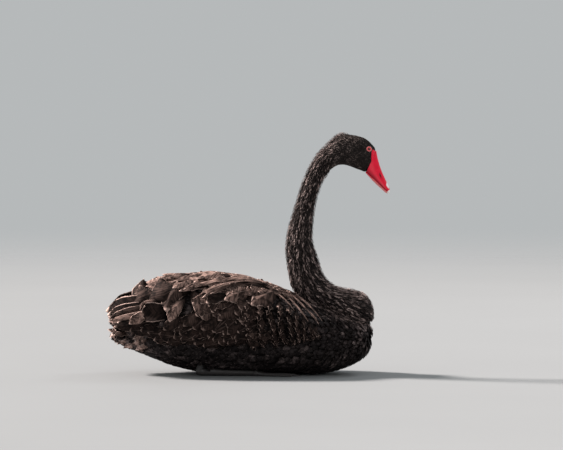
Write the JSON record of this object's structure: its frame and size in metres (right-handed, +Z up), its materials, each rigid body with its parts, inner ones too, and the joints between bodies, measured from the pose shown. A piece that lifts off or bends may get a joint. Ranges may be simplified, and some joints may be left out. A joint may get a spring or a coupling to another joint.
{
  "type": "black swan",
  "caption": "Life-size still model of a black swan resting on its belly with folded, ruffled wings, an upright S-curved neck and a lowered red bill.",
  "frame": {"origin": "on the floor, at the middle of the flat that the belly rests on", "axes": "+X the way that the bird faces, +Y to its left, +Z up"},
  "size_m": [0.5385, 0.2552, 0.4564],
  "materials": {
    "body_plumage": "dense matt black body feathers with slightly browner tips",
    "neck_plumage": "short velvety black feathers, furrowed along the neck",
    "wing_plumage": "broad black-brown feathers with a soft satin sheen and paler worn edges",
    "bill": "smooth waxy crimson horn with a white bar and a white nail near the tip",
    "eye": "wet glossy red-brown iris round a black pupil",
    "leg": "scaly grey-black skin with dull black claws"
  },
  "bodies": {
    "root": {"torso": "body_plumage", "neck_lower": "neck_plumage", "neck_middle": "neck_plumage", "neck_upper": "neck_plumage", "head": "neck_plumage", "bill_upper": "bill", "bill_lower": "bill", "eye_right": "eye", "eye_left": "eye", "wing_right": "wing_plumage", "wing_left": "wing_plumage", "tail": "wing_plumage", "leg_right": "leg", "leg_left": "leg", "foot_right": "leg", "foot_left": "leg"}
  },
  "joints": []
}
